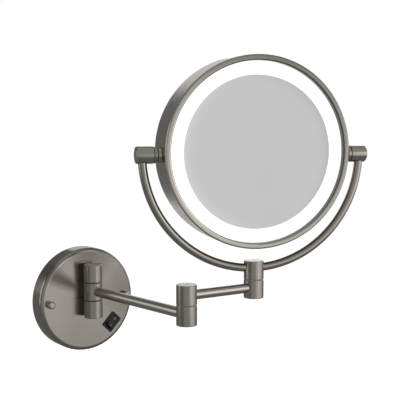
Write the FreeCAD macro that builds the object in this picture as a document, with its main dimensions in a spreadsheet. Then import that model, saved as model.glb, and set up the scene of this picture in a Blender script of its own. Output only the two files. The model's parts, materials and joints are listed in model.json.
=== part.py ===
"""Wall-mounted extendable shaving mirror with a lighted, two-sided head.

Frame: millimetres, +Z up. The origin is on the wall, at the centre of the round wall plate.
The wall is the plane Y = 0, the mirror stands out of it towards -Y, and +X is to the right
of someone who faces the wall.

The chain from the wall outwards is: wall plate, wall hinge, arm 1, elbow hinge, arm 2,
wrist hinge, yoke, tilt pivots, head. The three hinges turn about vertical axes and the head
tilts about the line through the two pivots at the yoke's ends.
"""

import FreeCAD, Part
import math
import os
from types import SimpleNamespace

import Sketcher

Vector = FreeCAD.Vector
Rotation = FreeCAD.Rotation
Placement = FreeCAD.Placement

X_AXIS = Vector(1, 0, 0)
Y_AXIS = Vector(0, 1, 0)
Z_AXIS = Vector(0, 0, 1)
ORIGIN = Vector(0, 0, 0)

# ---------------------------------------------------------------------------------------
# Driving dimensions, kept in the document's spreadsheet. Lengths in mm, angles in degrees.
# ---------------------------------------------------------------------------------------

SIZES = {
    # round wall plate: a spun cup over a flat mounting plate
    "cover_radius": 61.5,
    "cover_depth": 22.0,
    "cover_wall": 1.5,
    "cover_rounding": 4.8,
    "backplate_radius": 57.0,
    "backplate_thickness": 2.0,
    "wall_hole_offset": 40.0,
    "wall_hole_radius": 2.6,
    "inlet_height": 20.0,
    "inlet_radius": 6.5,
    "stud_offset": 50.0,
    "stud_radius": 2.0,
    "stud_play": 0.2,
    "stud_thread": 3.5,
    "stud_collar_radius": 3.5,
    "stud_collar_length": 2.0,
    "nut_radius": 4.4,
    "nut_height": 6.6,
    "nut_rounding": 1.8,
    "nut_end_wall": 2.4,
    # parts inside the wall plate
    "strip_width": 18.0,
    "strip_height": 60.0,
    "strip_thickness": 1.5,
    "seat_gap": 0.1,
    "driver_length": 56.0,
    "driver_depth": 13.5,
    "driver_bottom": -17.0,
    "driver_top": 9.0,
    "tab_reach": 34.0,
    "tab_width": 10.0,
    "tab_thickness": 1.5,
    "driver_screw_offset": 31.0,
    "driver_screw_height": -4.0,
    "driver_screw_radius": 1.15,
    "driver_screw_length": 3.4,
    "driver_screw_head": 2.6,
    "driver_screw_head_height": 1.6,
    "terminal_length": 30.0,
    "terminal_depth": 10.0,
    "terminal_bottom": 31.0,
    "terminal_top": 41.0,
    "terminal_pitch": 10.0,
    "terminal_hole_radius": 2.2,
    "terminal_hole_depth": 3.0,
    "grommet_bore": 4.0,
    "grommet_lip": 1.5,
    "grommet_head": 1.6,
    # rocker switch in the plate's lower right
    "switch_distance": 44.5,
    "bezel_length": 21.0,
    "bezel_width": 15.0,
    "bezel_height": 1.6,
    "bezel_corner": 1.0,
    "switch_body_length": 19.0,
    "switch_body_width": 12.8,
    "switch_body_depth": 12.0,
    "switch_play": 0.3,
    "well_depth": 6.5,
    "rocker_length": 16.6,
    "rocker_width": 10.0,
    "rocker_play": 0.3,
    "rocker_tilt": 9.0,
    "rocker_pivot_depth": 1.2,
    "rocker_crest": 4.6,
    "rocker_dip": 3.0,
    "rocker_back_end": 1.4,
    "rocker_back": 3.2,
    "rocker_back_flat": 6.0,
    "axle_radius": 1.2,
    "axle_length": 11.6,
    "axle_play": 0.1,
    "spade_pitch": 6.0,
    "spade_width": 4.8,
    "spade_thickness": 0.8,
    "spade_length": 5.5,
    # hinges: round knuckles stacked on hollow pins
    "knuckle_radius": 10.8,
    "knuckle_rounding": 0.6,
    "knuckle_gap": 0.8,
    "wall_knuckle_height": 20.4,
    "elbow_knuckle_height": 20.7,
    "wrist_knuckle_height": 19.8,
    "hinge_standoff": 11.7,
    "foot_width": 11.0,
    "foot_height": 14.0,
    "foot_screw_offset": 4.2,
    "foot_screw_radius": 1.5,
    "foot_screw_length": 8.0,
    "foot_screw_depth": 5.5,
    "foot_screw_head": 3.0,
    "foot_screw_head_height": 1.8,
    "foot_hole_radius": 2.0,
    "wire_port_radius": 3.0,
    "pin_radius": 4.0,
    "pin_bore": 2.5,
    "pin_end_gap": 0.2,
    "running_gap": 0.05,
    "screw_play": 0.1,
    "cap_radius": 9.6,
    "cap_thickness": 2.4,
    "cap_play": 0.15,
    "cap_chamfer": 0.3,
    "washer_radius": 10.4,
    "washer_thickness": 0.6,
    "washer_play": 0.2,
    # arms
    "arm_height": 12.3,
    "arm_length": 165.0,
    "arm_tube_radius": 5.7,
    "arm_direction": -84.5,
    "forearm_rise": 19.5,
    "forearm_length": 84.0,
    "forearm_tube_radius": 5.3,
    "forearm_direction": -5.6,
    "elbow_drop": 0.9,
    "wrist_drop": 1.2,
    "tube_wall": 1.2,
    "tube_start": 4.0,
    # yoke: half hoop with a pivot boss at each end
    "yoke_direction": -21.4,
    "hoop_radius": 121.6,
    "hoop_tube_radius": 4.5,
    "hoop_entry": 2.1,
    "boss_radius": 9.0,
    "boss_outer": 128.7,
    "boss_inner": 110.2,
    "boss_rounding": 1.8,
    "boss_chamfer": 0.4,
    "boss_end_wall": 6.0,
    "ring_radius": 8.5,
    "ring_length": 3.5,
    "collar_radius": 8.1,
    "collar_length": 3.9,
    "ring_rounding": 0.8,
    "pivot_gap": 0.35,
    "pivot_pin_radius": 3.0,
    "pivot_pin_bore": 1.6,
    "pivot_pin_start": 92.0,
    "pivot_pin_end_gap": 1.0,
    "pivot_nut_radius": 4.4,
    "pivot_nut_start": 95.2,
    "pivot_nut_height": 3.6,
    # head: slightly flared drum with a rounded bezel, a lit ring and a mirror on each face
    "head_tilt": 1.1,
    "head_rise": 2.4,
    "bezel_radius": 101.5,
    "bezel_lip": 6.2,
    "bezel_depth": 3.4,
    "bezel_rounding": 1.9,
    "bezel_front": 18.6,
    "drum_radius": 102.2,
    "drum_inside": 100.4,
    "drum_back": 26.6,
    "glass_front": 11.8,
    "glass_thickness": 2.0,
    "front_mirror_radius": 81.0,
    "glass_edge_gap": 0.2,
    "glass_play": 0.3,
    "board_inset": 3.0,
    "board_play": 0.4,
    "board_front": 7.6,
    "board_thickness": 1.1,
    "chip_distance": 90.0,
    "chip_length": 3.0,
    "chip_width": 2.8,
    "chip_height": 0.85,
    "chip_gap": 0.05,
    "tray_front": 9.7,
    "tray_wall": 1.5,
    "tray_well_radius": 78.0,
    "tray_rim": 6.4,
    "back_mirror_radius": 97.2,
    "back_mirror_thickness": 4.2,
    "back_mirror_sphere": 2200.0,
    "back_plate_radius": 97.0,
    "back_plate_recess": 6.0,
    "back_plate_thickness": 1.4,
    "back_ring_depth": 28.2,
    "back_ring_opening": 93.0,
    "back_ring_rounding": 1.0,
    "sleeve_start": 5.2,
    "sleeve_wall": 2.4,
    "sleeve_play": 0.2,
    "flange_gap": 0.15,
    "rim_screw_depth": 8.7,
    "rim_screw_radius": 1.5,
    "rim_screw_length": 3.6,
    "rim_screw_head": 2.3,
    "rim_screw_head_height": 0.75,
    "rim_screw_sink": 1.1,
    "rim_sink_radius": 3.2,
    "rim_slot_width": 0.7,
    "rim_slot_depth": 0.4,
}

# How far a cut starts or ends beyond the surface that it goes through.
OVERRUN = 1.0

RIM_SCREW_ANGLES = (31, 151, 271)
LED_COUNT = 60

doc = FreeCAD.newDocument("shaving_mirror")
sheet = doc.addObject("Spreadsheet::Sheet", "Sizes")
for row, (alias, number) in enumerate(SIZES.items(), start=1):
    sheet.set("A%d" % row, alias)
    sheet.set("B%d" % row, str(number))
    sheet.setAlias("B%d" % row, alias)
doc.recompute()


class Size:
    """A length with its formula: the number places geometry, the text binds it to the sheet."""

    def __init__(self, number, text):
        self.number = number
        self.text = text

    def __add__(self, other):
        other = as_size(other)
        return Size(self.number + other.number, "(%s + %s)" % (self.text, other.text))

    def __sub__(self, other):
        other = as_size(other)
        return Size(self.number - other.number, "(%s - %s)" % (self.text, other.text))

    def __mul__(self, factor):
        return Size(self.number * factor, "%s * %s" % (self.text, factor))

    def __neg__(self):
        return self * -1

    def __rsub__(self, other):
        return as_size(other) - self

    __radd__ = __add__
    __rmul__ = __mul__


def as_size(length):
    """Turns a plain number into a Size, and leaves a Size as it is."""
    return length if isinstance(length, Size) else Size(float(length), str(float(length)))


size = SimpleNamespace(**{alias: Size(number, "Sizes." + alias) for alias, number in SIZES.items()})
nodes = {}


def keep(label, thing, place=None):
    """Labels a finished sub-part, puts it in place and adds it to the ones that are written."""
    thing.Label = label
    if place is not None:
        thing.Placement = place
    nodes[label] = thing
    return thing


# ---------------------------------------------------------------------------------------
# Sketches and features
# ---------------------------------------------------------------------------------------


def new_body(label):
    return doc.addObject("PartDesign::Body", label + "_body")


def new_sketch(body, plane, offset=Placement()):
    """A sketch on one of the body's own origin planes, XY, XZ or YZ."""
    sketch = body.newObject("Sketcher::SketchObject", "Sketch")
    for feature in body.Origin.OriginFeatures:
        if feature.Role == plane + "_Plane":
            sketch.AttachmentSupport = [(feature, "")]
    sketch.MapMode = "FlatFace"
    sketch.AttachmentOffset = offset
    return sketch


def constrain(sketch, name, constraint, length):
    """Adds a sized constraint and binds it to its formula."""
    index = sketch.addConstraint(constraint)
    sketch.renameConstraint(index, name)
    sketch.setExpression("Constraints." + name, length.text)


def pin_point(sketch, name, line, end, x, y):
    """Holds one point of the sketch at x, y from the sketch's origin."""
    for kind, across, length in (("DistanceX", -2, as_size(x)), ("DistanceY", -1, as_size(y))):
        if length.number == 0:
            sketch.addConstraint(Sketcher.Constraint("PointOnObject", line, end, across))
        else:
            constraint = Sketcher.Constraint(kind, -1, 1, line, end, length.number)
            constrain(sketch, "%s_%s" % (name, kind), constraint, length)


def outline(sketch, points):
    """Draws a closed outline through points given as pairs of sizes."""
    first = sketch.GeometryCount
    corners = [Vector(as_size(x).number, as_size(y).number, 0) for x, y in points]
    for index, corner in enumerate(corners):
        following = corners[(index + 1) % len(corners)]
        sketch.addGeometry(Part.LineSegment(corner, following), False)
    for index, (x, y) in enumerate(points):
        line = first + index
        following = first + (index + 1) % len(points)
        sketch.addConstraint(Sketcher.Constraint("Coincident", line, 2, following, 1))
        pin_point(sketch, "corner_%d" % line, line, 1, x, y)
    return sketch


def circle(sketch, radius, x=0, y=0):
    """Draws a circle of a bound radius round the point x, y."""
    radius = as_size(radius)
    centre = Vector(as_size(x).number, as_size(y).number, 0)
    index = sketch.addGeometry(Part.Circle(centre, Z_AXIS, radius.number), False)
    constrain(sketch, "radius_%d" % index, Sketcher.Constraint("Radius", index, radius.number), radius)
    pin_point(sketch, "centre_%d" % index, index, 3, x, y)
    return sketch


def rectangle(sketch, width, height):
    """Draws a rectangle centred on the sketch's origin."""
    half_width = as_size(width) * 0.5
    half_height = as_size(height) * 0.5
    corners = ((-1, -1), (1, -1), (1, 1), (-1, 1))
    return outline(sketch, [(half_width * x, half_height * y) for x, y in corners])


def revolve(body, plane, points):
    """Turns an outline about its sketch's vertical axis: Z for plane XZ, Y for plane XY."""
    sketch = outline(new_sketch(body, plane), points)
    feature = body.newObject("PartDesign::Revolution", "Revolution")
    feature.Profile = sketch
    feature.ReferenceAxis = (sketch, ["V_Axis"])
    feature.Angle = 360
    return feature


def pad(body, sketch, length, side="One side", backwards=False):
    feature = body.newObject("PartDesign::Pad", "Pad")
    feature.Profile = sketch
    feature.SideType = side
    feature.Reversed = backwards
    feature.setExpression("Length", as_size(length).text)
    return feature


def pocket(body, sketch, length=None, backwards=False):
    """Cuts a sketch through the whole body both ways, or to a length in one direction."""
    doc.recompute()
    before = body.Shape.Volume
    feature = body.newObject("PartDesign::Pocket", "Pocket")
    feature.Profile = sketch
    if length is None:
        feature.Type = "ThroughAll"
        feature.SideType = "Symmetric"
    else:
        feature.Reversed = backwards
        feature.setExpression("Length", as_size(length).text)
    doc.recompute()
    if feature.Shape.isNull() or feature.Shape.Volume > before - 1e-3:
        raise RuntimeError("a pocket in %s cuts nothing" % body.Name)
    return feature


def circles_of(shape, radius, along, position):
    """Names the shape's circular edges of one radius at one position along an axis."""
    names = []
    for index, edge in enumerate(shape.Edges, start=1):
        curve = edge.Curve
        if isinstance(curve, Part.Circle) and abs(curve.Radius - radius) < 1e-4:
            if abs(curve.Center.dot(along) - position) < 1e-4:
                names.append("Edge%d" % index)
    return names


def soften(body, kind, amount, along, spots):
    """Fillets or chamfers the circular edges given as pairs of radius and position."""
    doc.recompute()
    base = body.Tip
    names = []
    for radius, position in spots:
        names += circles_of(base.Shape, as_size(radius).number, along, as_size(position).number)
    if len(names) < len(spots):
        raise RuntimeError("an edge to soften is missing in %s" % body.Name)
    feature = body.newObject("PartDesign::" + kind, kind)
    feature.Base = (base, names)
    feature.setExpression("Radius" if kind == "Fillet" else "Size", as_size(amount).text)
    return feature


def tube_points(inner, outer, low, high):
    """The outline of a round tube, as pairs of radius and position along its axis."""
    return [(inner, low), (outer, low), (outer, high), (inner, high)]


# ---------------------------------------------------------------------------------------
# Part primitives, for fasteners and plain internal parts
# ---------------------------------------------------------------------------------------


def cylinder(radius, length, place=Placement()):
    solid = doc.addObject("Part::Cylinder", "Cylinder")
    solid.setExpression("Radius", as_size(radius).text)
    solid.setExpression("Height", as_size(length).text)
    solid.Placement = place
    return solid


def block(low, high, place=Placement()):
    """A box between two corners, each three sizes, moved by place."""
    low = [as_size(length) for length in low]
    high = [as_size(length) for length in high]
    solid = doc.addObject("Part::Box", "Box")
    for name, start, end in zip(("Length", "Width", "Height"), low, high):
        solid.setExpression(name, (end - start).text)
    corner = Vector(*[length.number for length in low])
    solid.Placement = place.multiply(Placement(corner, Rotation()))
    return solid


def fuse(*solids):
    joined = doc.addObject("Part::MultiFuse", "Fusion")
    joined.Shapes = list(solids)
    return joined


def cut(base, tool):
    remainder = doc.addObject("Part::Cut", "Cut")
    remainder.Base = base
    remainder.Tool = tool
    return remainder


def group(solids):
    """Separate identical solids that share one node."""
    collection = doc.addObject("Part::Compound", "Group")
    collection.Links = list(solids)
    return collection


def aimed(position, direction):
    """A placement at a position whose Z axis points in a direction."""
    return Placement(position, Rotation(Z_AXIS, direction))


def turned(position, angle):
    """A placement at a position, turned about the vertical."""
    return Placement(position, Rotation(Z_AXIS, angle))


# ---------------------------------------------------------------------------------------
# Places worked out from the driving dimensions
# ---------------------------------------------------------------------------------------


def along_direction(start, length, angle):
    """The point at a horizontal distance and direction from another point."""
    turn = math.radians(angle)
    return start + Vector(length * math.cos(turn), length * math.sin(turn), 0)


face = -size.cover_depth.number
hinge_1 = Vector(0, face - SIZES["hinge_standoff"], SIZES["arm_height"])
hinge_2 = along_direction(hinge_1, SIZES["arm_length"], SIZES["arm_direction"])
forearm_start = hinge_2 + Z_AXIS * SIZES["forearm_rise"]
hinge_3 = along_direction(forearm_start, SIZES["forearm_length"], SIZES["forearm_direction"])

wall_pitch = SIZES["wall_knuckle_height"] + SIZES["knuckle_gap"]
elbow_pitch = SIZES["elbow_knuckle_height"] + SIZES["knuckle_gap"]
wrist_pitch = SIZES["wrist_knuckle_height"] + SIZES["knuckle_gap"]

elbow_lower = hinge_2 - Z_AXIS * SIZES["elbow_drop"]
elbow_upper = elbow_lower + Z_AXIS * elbow_pitch
wrist_lower = hinge_3 - Z_AXIS * SIZES["wrist_drop"]
wrist_upper = wrist_lower + Z_AXIS * wrist_pitch

hoop_bottom = wrist_upper + Z_AXIS * SIZES["hoop_entry"]
yoke_place = turned(hoop_bottom + Z_AXIS * SIZES["hoop_radius"], SIZES["yoke_direction"])
tilt_place = yoke_place.multiply(Placement(ORIGIN, Rotation(X_AXIS, SIZES["head_tilt"])))
head_place = tilt_place.multiply(Placement(Z_AXIS * SIZES["head_rise"], Rotation()))
switch_reach = SIZES["switch_distance"] / math.sqrt(2)
switch_place = Placement(Vector(switch_reach, face, -switch_reach), Rotation(Y_AXIS, -45))

# ---------------------------------------------------------------------------------------
# Hinge parts, shared by the three hinges. Each is modelled round its own vertical axis.
# ---------------------------------------------------------------------------------------


def knuckle(label, height, place, tube_sides=(), port_height=0, foot=False):
    """A knuckle with a bore for the pin, a seat for a cap where it ends the stack, cable
    ports towards its tubes, and on the wall hinge a foot that stands on the plate."""
    body = new_body(label)
    half = height * 0.5
    revolve(body, "XZ", tube_points(0, size.knuckle_radius, -half, half))
    ends = [(size.knuckle_radius, -half), (size.knuckle_radius, half)]
    soften(body, "Fillet", size.knuckle_rounding, Z_AXIS, ends)
    if foot:
        foot_outline = rectangle(new_sketch(body, "XZ"), size.foot_width, size.foot_height)
        pad(body, foot_outline, size.hinge_standoff, backwards=True)
        screws = new_sketch(body, "XZ", Placement(Z_AXIS * -SIZES["hinge_standoff"], Rotation()))
        for side in (-1, 1):
            circle(screws, size.foot_screw_radius + size.screw_play, 0, size.foot_screw_offset * side)
        pocket(body, screws, size.foot_screw_depth, backwards=True)
    pocket(body, circle(new_sketch(body, "XY"), size.pin_radius + size.running_gap))
    for side in tube_sides:
        port = circle(new_sketch(body, "YZ"), size.wire_port_radius, 0, port_height)
        pocket(body, port, size.knuckle_radius + OVERRUN, backwards=side > 0)
    return body, half, place, label


def cap_seat(made, top):
    """Cuts the shallow seat for an end cap into the outer end of a knuckle."""
    body, half, place, label = made
    level = half.number - SIZES["cap_thickness"]
    offset = Placement(Z_AXIS * (level if top else -level), Rotation())
    seat = circle(new_sketch(body, "XY", offset), size.cap_radius + size.cap_play)
    pocket(body, seat, size.cap_thickness + OVERRUN, backwards=top)
    return made


def keep_knuckle(made):
    body, half, place, label = made
    return keep(label, body, place)


def end_cap(label, height, place, top):
    """The flat disc that closes the end of a stack of knuckles."""
    body = new_body(label)
    outer = height * 0.5
    low = outer - size.cap_thickness + size.seat_gap
    if not top:
        outer = -outer
        low = -low
    revolve(body, "XZ", tube_points(0, size.cap_radius, low, outer))
    soften(body, "Chamfer", size.cap_chamfer, Z_AXIS, [(size.cap_radius, outer)])
    keep(label, body, place)


def hinge_pin(label, low, high, place):
    """A hollow pin: the lamp's wires run up through it."""
    body = new_body(label)
    revolve(body, "XZ", tube_points(size.pin_bore, size.pin_radius, low, high))
    keep(label, body, place)


def hinge_washer(label, place):
    """A thin nylon washer, set back from the outside, that shows as the dark joint line."""
    body = new_body(label)
    half = size.washer_thickness * 0.5
    revolve(body, "XZ", tube_points(size.pin_radius + size.washer_play, size.washer_radius, -half, half))
    keep(label, body, place)


def arm_tube(label, radius, length, place):
    """A straight tube between two hinge axes, its ends hollowed to sit on the knuckles."""
    body = new_body(label)
    start = Placement(Z_AXIS * SIZES["tube_start"], Rotation())
    section = circle(new_sketch(body, "YZ", start), radius)
    circle(section, radius - size.tube_wall)
    pad(body, section, length - size.tube_start * 2)
    for x in (0, length):
        pocket(body, circle(new_sketch(body, "XY"), size.knuckle_radius, x, 0))
    keep(label, body, place)


# ---------------------------------------------------------------------------------------
# Wall plate
# ---------------------------------------------------------------------------------------


def wall_plate():
    """The spun cup that shows: rounded front edge, holes for studs, screws, wires, switch."""
    body = new_body("wall_plate_cover")
    rim = size.cover_radius
    inner = rim - size.cover_wall
    front = -size.cover_depth
    back_of_face = front + size.cover_wall
    points = [(0, front), (rim, front), (rim, 0), (inner, 0), (inner, back_of_face), (0, back_of_face)]
    revolve(body, "XY", points)
    soften(body, "Fillet", size.cover_rounding, Y_AXIS, [(rim, front)])
    soften(body, "Fillet", size.cover_rounding - size.cover_wall, Y_AXIS, [(inner, back_of_face)])
    holes = new_sketch(body, "XZ")
    for side in (-1, 1):
        circle(holes, size.stud_radius + size.stud_play, size.stud_offset * side, 0)
    for height in knuckle_screw_heights():
        circle(holes, size.foot_hole_radius, 0, height)
    circle(holes, size.wire_port_radius, 0, size.arm_height)
    pocket(body, holes)
    opening = new_sketch(body, "XZ", Placement(Vector(switch_reach, -switch_reach, 0), Rotation(Z_AXIS, 45)))
    rectangle(opening, size.switch_body_length + size.switch_play, size.switch_body_width + size.switch_play)
    pocket(body, opening)
    keep("wall_plate_cover", body)


def knuckle_screw_heights():
    """Heights of the screws that hold the two fixed knuckles: two in each foot."""
    heights = []
    for side in (-1, 1):
        for step in (-1, 1):
            heights.append(SIZES["arm_height"] + side * wall_pitch + step * SIZES["foot_screw_offset"])
    return heights


def mounting_plate():
    """The flat plate that is screwed to the wall and carries the studs and the driver."""
    body = new_body("mounting_plate")
    revolve(body, "XY", tube_points(0, size.backplate_radius, -size.backplate_thickness, 0))
    holes = new_sketch(body, "XZ")
    for side in (-1, 1):
        circle(holes, size.wall_hole_radius, size.wall_hole_offset * side, 0)
        circle(holes, size.stud_radius, size.stud_offset * side, 0)
        pilot = size.driver_screw_radius + size.running_gap
        circle(holes, pilot, size.driver_screw_offset * side, size.driver_screw_height)
    circle(holes, size.inlet_radius, 0, size.inlet_height)
    pocket(body, holes)
    keep("mounting_plate", body)


def cap_nut(label, side):
    """A round-ended cap nut on the end of a stud, closed in front."""
    body = new_body(label)
    front = -(size.cover_depth + size.nut_height)
    seat = -size.cover_depth
    bore_end = front + size.nut_end_wall
    bore = size.stud_radius + size.running_gap
    points = [(0, front), (size.nut_radius, front), (size.nut_radius, seat), (bore, seat), (bore, bore_end)]
    points.append((0, bore_end))
    revolve(body, "XY", points)
    soften(body, "Fillet", size.nut_rounding, Y_AXIS, [(size.nut_radius, front)])
    keep(label, body, Placement(Vector(side * SIZES["stud_offset"], 0, 0), Rotation()))


def wall_fasteners():
    """The studs in the mounting plate and the screws into the knuckles' feet."""
    stud_length = size.cover_depth + size.stud_thread
    studs = []
    for side in (-1, 1):
        foot = Vector(side * SIZES["stud_offset"], 0, 0)
        shank = cylinder(size.stud_radius, stud_length, aimed(foot, -Y_AXIS))
        collar_foot = aimed(foot - Y_AXIS * SIZES["backplate_thickness"], -Y_AXIS)
        collar = cylinder(size.stud_collar_radius, size.stud_collar_length, collar_foot)
        studs.append(fuse(shank, collar))
    keep("plate_studs", group(studs))
    screws = []
    inside = face + SIZES["cover_wall"] + SIZES["strip_thickness"]
    for height in knuckle_screw_heights():
        spot = Vector(0, inside, height)
        head = cylinder(size.foot_screw_head, size.foot_screw_head_height, aimed(spot, Y_AXIS))
        shank = cylinder(size.foot_screw_radius, size.foot_screw_length, aimed(spot, -Y_AXIS))
        screws.append(fuse(head, shank))
    keep("knuckle_screws", group(screws))


def backing_plate():
    """A stiff strip inside the cover, behind the knuckles, that spreads the arm's load."""
    middle = SIZES["arm_height"]
    back = face + SIZES["cover_wall"]
    side = SIZES["strip_width"] / 2
    reach = SIZES["strip_height"] / 2
    strip = block((-side, back, middle - reach), (side, back + size.strip_thickness, middle + reach))
    through = size.strip_thickness + 2 * OVERRUN
    for height in knuckle_screw_heights() + [middle]:
        radius = size.wire_port_radius if height == middle else size.foot_screw_radius + size.stud_play
        strip = cut(strip, cylinder(radius, through, aimed(Vector(0, back - OVERRUN, height), Y_AXIS)))
    keep("hinge_backing_plate", strip)


def electrical_parts():
    """LED driver, its screws, terminal block and the rubber grommet at the cable inlet."""
    seat = -(SIZES["backplate_thickness"] + SIZES["seat_gap"])
    half = SIZES["driver_length"] / 2
    driver = block((-half, seat - size.driver_depth, size.driver_bottom), (half, seat, size.driver_top))
    tab_low = SIZES["driver_screw_height"] - SIZES["tab_width"] / 2
    tab_high = SIZES["driver_screw_height"] + SIZES["tab_width"] / 2
    tab_front = seat - SIZES["tab_thickness"]
    reach = SIZES["tab_reach"]
    tabs = block((-reach, tab_front, tab_low), (reach, seat, tab_high))
    driver = fuse(driver, tabs)
    screws = []
    for side in (-1, 1):
        head_seat = tab_front - SIZES["seat_gap"]
        spot = Vector(SIZES["driver_screw_offset"] * side, head_seat, SIZES["driver_screw_height"])
        hole = cylinder(size.driver_screw_radius + size.screw_play, size.tab_thickness + 2 * OVERRUN)
        hole.Placement = aimed(spot - Y_AXIS * OVERRUN, Y_AXIS)
        driver = cut(driver, hole)
        head = cylinder(size.driver_screw_head, size.driver_screw_head_height, aimed(spot, -Y_AXIS))
        shank = cylinder(size.driver_screw_radius, size.driver_screw_length, aimed(spot, Y_AXIS))
        screws.append(fuse(head, shank))
    keep("led_driver", driver)
    keep("driver_screws", group(screws))
    half = SIZES["terminal_length"] / 2
    front = seat - SIZES["terminal_depth"]
    terminal = block((-half, front, size.terminal_bottom), (half, seat, size.terminal_top))
    middle = (SIZES["terminal_bottom"] + SIZES["terminal_top"]) / 2
    for place in (-1, 0, 1):
        spot = Vector(SIZES["terminal_pitch"] * place, front - OVERRUN, middle)
        hole = cylinder(size.terminal_hole_radius, size.terminal_hole_depth + OVERRUN, aimed(spot, Y_AXIS))
        terminal = cut(terminal, hole)
    keep("terminal_block", terminal)
    body = new_body("supply_grommet")
    bore = size.grommet_bore
    lip = size.inlet_radius + size.grommet_lip
    front = size.backplate_thickness * -1 - size.grommet_head
    shoulder = size.backplate_thickness * -1 - size.seat_gap
    neck = size.inlet_radius - size.screw_play
    points = [(bore, front), (lip, front), (lip, shoulder), (neck, shoulder), (neck, 0), (bore, 0)]
    revolve(body, "XY", points)
    keep("supply_grommet", body, Placement(Z_AXIS * SIZES["inlet_height"], Rotation()))


# ---------------------------------------------------------------------------------------
# Rocker switch. X along the rocker, Z across it, the plate's face at Y = 0.
# ---------------------------------------------------------------------------------------


def switch_parts():
    """Housing with its bezel, the rocker on two trunnions, and the spade terminals."""
    body = new_body("switch_housing")
    bezel = rectangle(new_sketch(body, "XZ"), size.bezel_length, size.bezel_width)
    pad(body, bezel, size.bezel_height)
    doc.recompute()
    corners = []
    for index, edge in enumerate(body.Shape.Edges, start=1):
        if abs(edge.BoundBox.YLength - SIZES["bezel_height"]) < 1e-4:
            corners.append("Edge%d" % index)
    bezel_pad = body.Tip
    rounding = body.newObject("PartDesign::Fillet", "Fillet")
    rounding.Base = (bezel_pad, corners)
    rounding.setExpression("Radius", size.bezel_corner.text)
    base = rectangle(new_sketch(body, "XZ"), size.switch_body_length, size.switch_body_width)
    pad(body, base, size.switch_body_depth, backwards=True)
    well_start = Placement(Z_AXIS * -SIZES["well_depth"], Rotation())
    well = new_sketch(body, "XZ", well_start)
    rectangle(well, size.rocker_length + size.rocker_play * 2, size.rocker_width + size.rocker_play * 2)
    pocket(body, well, size.well_depth + size.bezel_height + OVERRUN, backwards=True)
    axle = circle(new_sketch(body, "XY"), size.axle_radius + size.axle_play, 0, size.rocker_pivot_depth)
    pocket(body, axle)
    keep("switch_housing", body, switch_place)

    rocker = new_body("switch_rocker")
    reach = size.rocker_length * 0.5
    flat = size.rocker_back_flat * 0.5
    crest = size.rocker_crest * -1
    side_view = [(reach * -1, crest), (0, size.rocker_dip * -1), (reach, crest), (reach, size.rocker_back_end)]
    side_view += [(flat, size.rocker_back), (flat * -1, size.rocker_back), (reach * -1, size.rocker_back_end)]
    pad(rocker, outline(new_sketch(rocker, "XY"), side_view), size.rocker_width, side="Symmetric")
    pad(rocker, circle(new_sketch(rocker, "XY"), size.axle_radius), size.axle_length, side="Symmetric")
    ends = new_sketch(rocker, "XY")
    circle(ends, size.rocker_length)
    circle(ends, size.rocker_length * 0.5)
    pocket(rocker, ends)
    pressed = Placement(Y_AXIS * SIZES["rocker_pivot_depth"], Rotation(Z_AXIS, SIZES["rocker_tilt"]))
    keep("switch_rocker", rocker, switch_place.multiply(pressed))

    tabs = []
    start = size.switch_body_depth + size.running_gap
    half_width = size.spade_width * 0.5
    half_thickness = size.spade_thickness * 0.5
    for step in (-1, 0, 1):
        middle = size.spade_pitch * step
        low = (middle - half_thickness, start, half_width * -1)
        high = (middle + half_thickness, start + size.spade_length, half_width)
        tabs.append(block(low, high, switch_place))
    keep("switch_terminals", group(tabs))


# ---------------------------------------------------------------------------------------
# Hinges and arms
# ---------------------------------------------------------------------------------------


def wall_hinge():
    height = size.wall_knuckle_height
    upper = Placement(hinge_1 + Z_AXIS * wall_pitch, Rotation())
    lower = Placement(hinge_1 - Z_AXIS * wall_pitch, Rotation())
    keep_knuckle(cap_seat(knuckle("upper_wall_knuckle", height, upper, foot=True), True))
    keep_knuckle(cap_seat(knuckle("lower_wall_knuckle", height, lower, foot=True), False))
    end_cap("wall_hinge_top_cap", height, upper, True)
    end_cap("wall_hinge_bottom_cap", height, lower, False)
    half = height * 1.5 + size.knuckle_gap - size.cap_thickness - size.pin_end_gap
    hinge_pin("wall_hinge_pin", -half, half, Placement(hinge_1, Rotation()))
    hinge_washer("wall_hinge_upper_washer", Placement(hinge_1 + Z_AXIS * wall_pitch / 2, Rotation()))
    hinge_washer("wall_hinge_lower_washer", Placement(hinge_1 - Z_AXIS * wall_pitch / 2, Rotation()))


def two_knuckle_hinge(name, height, pitch, lower, upper, lower_sides, upper_sides, entries):
    """A hinge of two knuckles: the pin, its washer and the bottom cap stay with the lower."""
    lower_entry, upper_entry = entries
    made = knuckle(name + "_lower_knuckle", height, lower, lower_sides, lower_entry)
    keep_knuckle(cap_seat(made, False))
    made = knuckle(name + "_upper_knuckle", height, upper, upper_sides, upper_entry)
    keep_knuckle(cap_seat(made, True))
    end_cap(name + "_bottom_cap", height, lower, False)
    end_cap(name + "_top_cap", height, upper, True)
    inset = size.cap_thickness + size.pin_end_gap
    hinge_pin(name + "_pin", height * -0.5 + inset, height * 1.5 + size.knuckle_gap - inset, lower)
    hinge_washer(name + "_washer", Placement(lower.Base + Z_AXIS * pitch / 2, Rotation()))


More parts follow.
